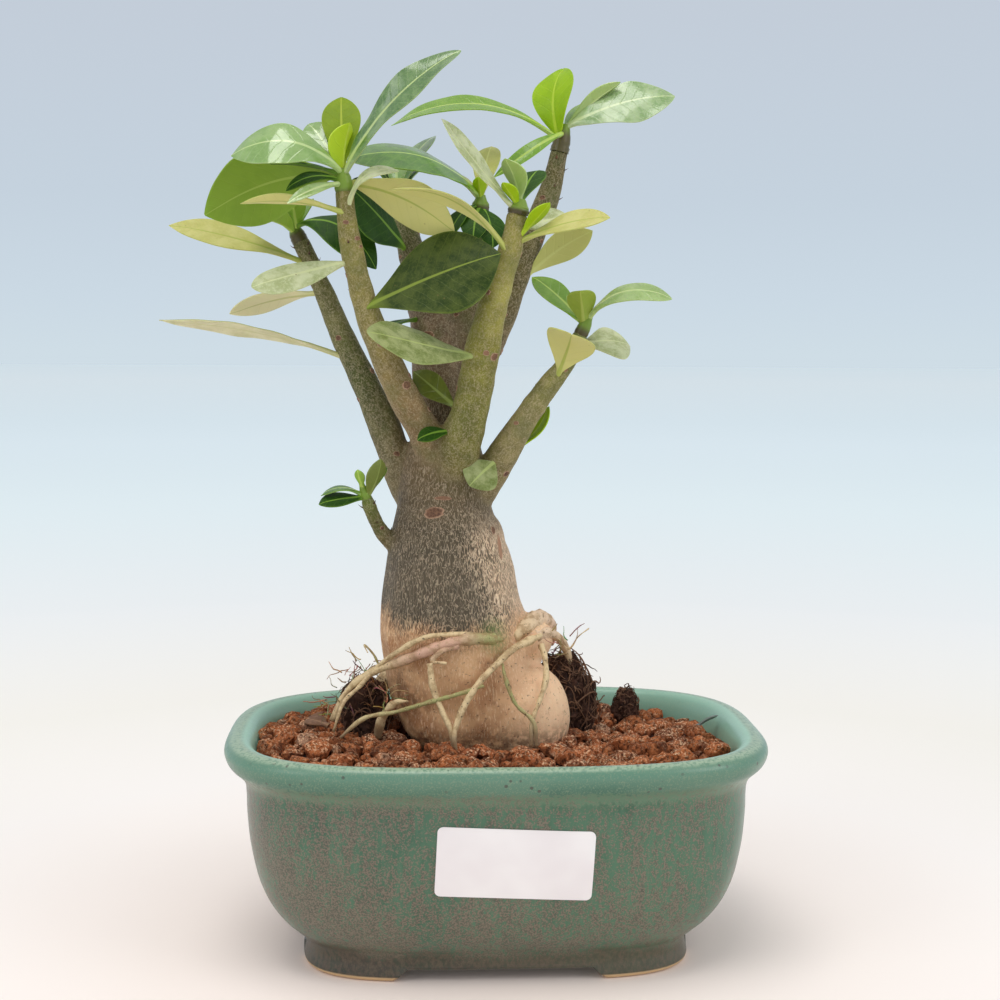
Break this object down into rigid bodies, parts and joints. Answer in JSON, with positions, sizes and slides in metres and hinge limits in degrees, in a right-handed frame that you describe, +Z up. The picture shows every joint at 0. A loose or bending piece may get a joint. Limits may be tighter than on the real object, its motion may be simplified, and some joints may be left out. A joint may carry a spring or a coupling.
{
  "type": "potted desert rose adenium",
  "caption": "Desert rose with a swollen grey stem, open branches and spatulate leaves, rooted in lava granules in a small footed trough with green glaze.",
  "frame": {"origin": "middle of the whole part's footprint, on the surface that the pot's feet stand on", "axes": "+Z up, the trough's length along X, its labelled front towards -Y"},
  "size_m": [0.169, 0.105, 0.249],
  "materials": {
    "glaze": "glossy teal-green glaze over stoneware, streaked and speckled with brown-grey",
    "label": "matte white sticker, blank",
    "screen": "matte moulded mesh",
    "granules": "rough reddish-brown lava with pale crusts",
    "peat": "dark matted root fibre",
    "dry_leaf": "brittle, matte",
    "bark": "smooth grey-brown bark with fine silvery wrinkles, tan and pinkish towards the soil",
    "leaf_dark": "waxy dark green",
    "leaf_glossy": "glossy mid green",
    "leaf_fresh": "soft gloss, yellow-green",
    "leaf_silver": "satin grey-green, mottled",
    "leaf_pale": "matte yellowish green to tan"
  },
  "bodies": {
    "root": {"pot": "glaze", "label": "label", "drain_screen": "screen", "soil": "granules", "peat_left": "peat", "peat_right": "peat", "dry_flake_1": "dry_leaf", "dry_flake_2": "dry_leaf", "dry_flake_3": "dry_leaf", "dry_flake_4": "dry_leaf", "plant": "bark", "crown_frontLeft": "leaf_glossy", "crown_farLeft": "leaf_glossy", "crown_middle": "leaf_glossy", "crown_middleRight": "leaf_glossy", "crown_frontRight": "leaf_glossy", "crown_rearRight": "leaf_glossy", "crown_lowRight": "leaf_glossy", "crown_twig": "leaf_glossy", "leaf_left_recurved": "leaf_pale", "leaf_right_recurved": "leaf_silver", "leaf_broad_front": "leaf_dark", "leaf_left_mottled": "leaf_silver", "leaf_left_yellow": "leaf_pale", "leaf_left_tan": "leaf_pale", "leaf_left_long": "leaf_pale", "leaf_middle_dark": "leaf_dark", "leaf_middle_low": "leaf_dark", "leaf_middle_small": "leaf_glossy", "leaf_front_small": "leaf_dark", "leaf_right_yellow": "leaf_pale", "leaf_right_sprout": "leaf_fresh", "leaf_right_mottled": "leaf_silver", "leaf_front_narrow": "leaf_pale", "leaf_front_grey": "leaf_silver", "leaf_rear_olive": "leaf_pale", "leaf_round_low": "leaf_silver", "leaf_low_folded": "leaf_pale", "leaf_low_mottled": "leaf_silver", "leaf_low_behind": "leaf_glossy"}
  },
  "joints": []
}
